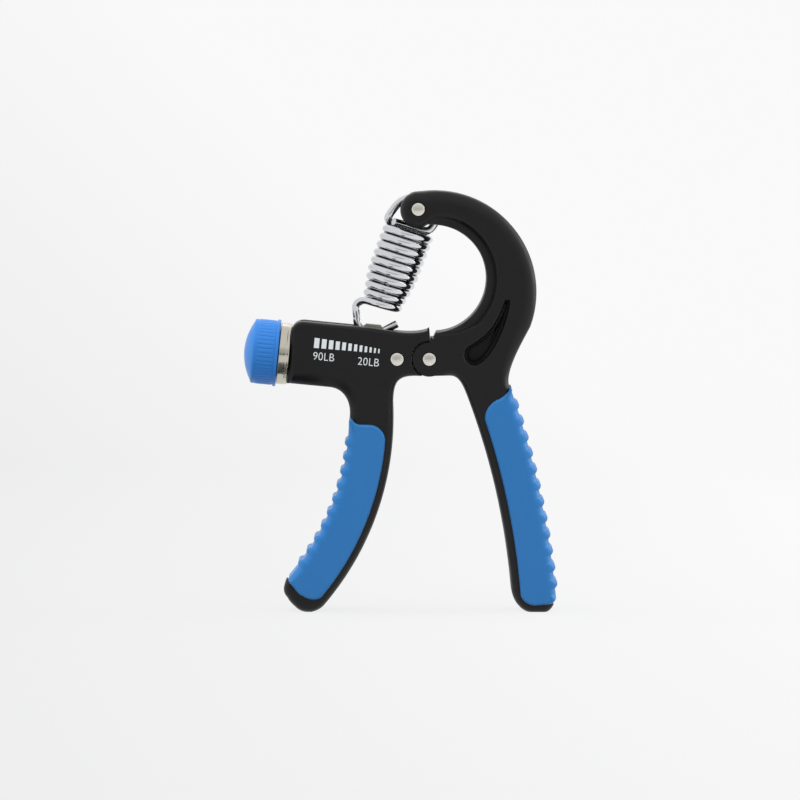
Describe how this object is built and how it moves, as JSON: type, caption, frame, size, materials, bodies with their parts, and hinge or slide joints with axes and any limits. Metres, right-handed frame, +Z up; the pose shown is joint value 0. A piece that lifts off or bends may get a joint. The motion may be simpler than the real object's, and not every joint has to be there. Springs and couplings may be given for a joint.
{
  "type": "hand grip strengthener",
  "caption": "Adjustable spring hand grip strengthener with two hinged handles, an extension spring and a tension knob that moves the spring's hook along a screw.",
  "frame": {"origin": "centre of the bounding box at the level of the two handle tips it stands on", "axes": "+Z up from the handle tips to the arm, +X from the knob towards the curved arm, +Y through the thickness, away from the side with the tension scale"},
  "size_m": [0.1188, 0.0254, 0.16],
  "materials": {
    "black_plastic": "satin",
    "soft_blue": "matte soft-touch",
    "knob_blue": "satin",
    "steel": "brushed",
    "spring_steel": "polished",
    "zinc": "satin",
    "washer_white": "matte"
  },
  "bodies": {
    "right_handle": {"right_frame": "black_plastic", "right_grip": "soft_blue", "pivot_pin": "steel", "spring_pin": "steel"},
    "left_handle": {"left_frame": "black_plastic", "left_grip": "soft_blue", "link_pin": "steel", "link_plate": "steel", "link_washers": "washer_white", "end_bush": "zinc", "collar": "steel"},
    "knob": {"knob": "knob_blue", "knob_cap": "knob_blue", "knob_screw": "steel", "screw": "steel", "thrust_washer": "washer_white", "retaining_ring": "steel"},
    "slider": {"slider": "zinc"},
    "spring": {"spring": "spring_steel"}
  },
  "joints": [
    {"name": "squeeze", "type": "hinge", "parent": "right_handle", "child": "left_handle", "pos_m": [0.0107, 0, 0.0962], "axis": [0, -1, 0], "range_deg": [0, 33], "stiffness_Nm_per_rad": 8, "springref_deg": -20.05, "deforming": ["spring"]},
    {"name": "knob_turn", "type": "hinge", "parent": "left_handle", "child": "knob", "pos_m": [-0.04245, 0, 0.0977], "axis": [0.9954, 0, -0.0958], "range_deg": [0, 5760]},
    {"name": "slider_travel", "type": "slide", "parent": "left_handle", "child": "slider", "axis": [-0.9954, 0, 0.0958], "range_m": [0, 0.02]},
    {"name": "spring_swing", "type": "hinge", "parent": "right_handle", "child": "spring", "pos_m": [0.0065, 0, 0.153], "axis": [0, 1, 0], "range_deg": [0, 19.5]}
  ],
  "couplings": [
    {"joint": "slider_travel", "follows": "knob_turn", "m_per_rad": 0.00019894},
    {"joint": "spring_swing", "follows": "knob_turn", "ratio": 0.0033854}
  ]
}
